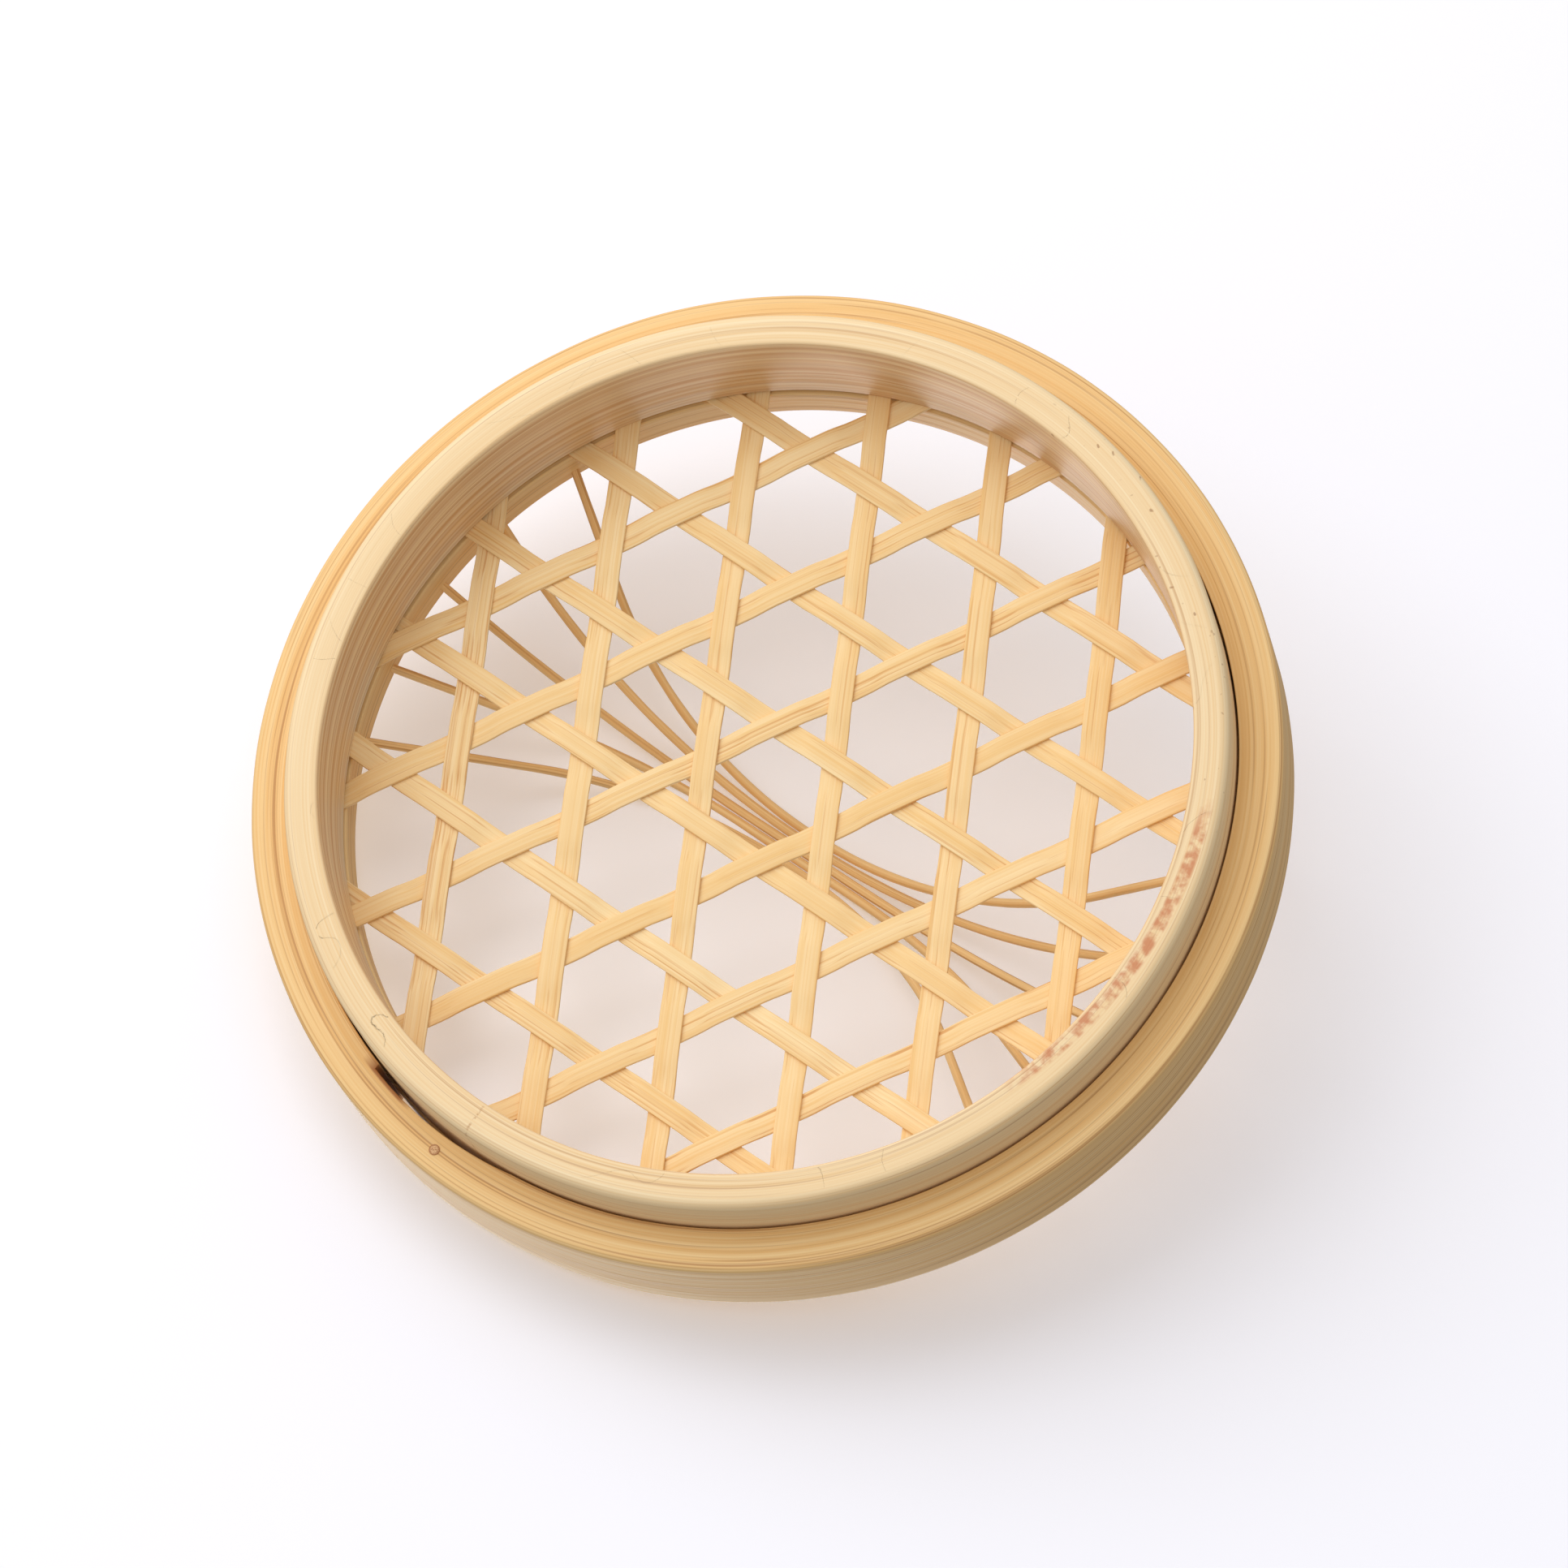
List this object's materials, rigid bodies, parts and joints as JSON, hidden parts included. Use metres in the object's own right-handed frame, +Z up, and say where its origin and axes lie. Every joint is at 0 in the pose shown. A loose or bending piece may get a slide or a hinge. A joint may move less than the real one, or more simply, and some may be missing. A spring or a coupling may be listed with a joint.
{
  "type": "woven bamboo basket lid",
  "caption": "Round bamboo basket lid: bent hoops around an open hexagonal lattice, with a spigot ring below and an arched grip of slender rods above.",
  "frame": {"origin": "on the hoops' common axis, in the plane of the spigot's end face, which the lid stands on", "axes": "+Z up in use, from the spigot to the handle; +X along the handle; +Y completes the right-handed set"},
  "size_m": [0.18, 0.18, 0.0498],
  "materials": {
    "outer_bamboo": "planed bamboo with the fibres round the hoop, sanded, no varnish",
    "inner_bamboo": "paler planed bamboo with long fibres, rounded end, sanded",
    "peg_bamboo": "cut end grain",
    "strip_bamboo": "split bamboo skin strip with long fibres, satin",
    "rod_bamboo": "drawn round bamboo rod, satin"
  },
  "bodies": {
    "root": {"outer_hoop": "outer_bamboo", "clamp_hoop": "outer_bamboo", "inner_hoop": "inner_bamboo", "lap_peg": "peg_bamboo", "strip_along_1": "strip_bamboo", "strip_along_2": "strip_bamboo", "strip_along_3": "strip_bamboo", "strip_along_4": "strip_bamboo", "strip_along_5": "strip_bamboo", "strip_along_6": "strip_bamboo", "strip_left_1": "strip_bamboo", "strip_left_2": "strip_bamboo", "strip_left_3": "strip_bamboo", "strip_left_4": "strip_bamboo", "strip_left_5": "strip_bamboo", "strip_left_6": "strip_bamboo", "strip_right_1": "strip_bamboo", "strip_right_2": "strip_bamboo", "strip_right_3": "strip_bamboo", "strip_right_4": "strip_bamboo", "strip_right_5": "strip_bamboo", "strip_right_6": "strip_bamboo", "rod_1": "rod_bamboo", "rod_2": "rod_bamboo", "rod_3": "rod_bamboo", "rod_4": "rod_bamboo", "rod_5": "rod_bamboo"}
  },
  "joints": []
}
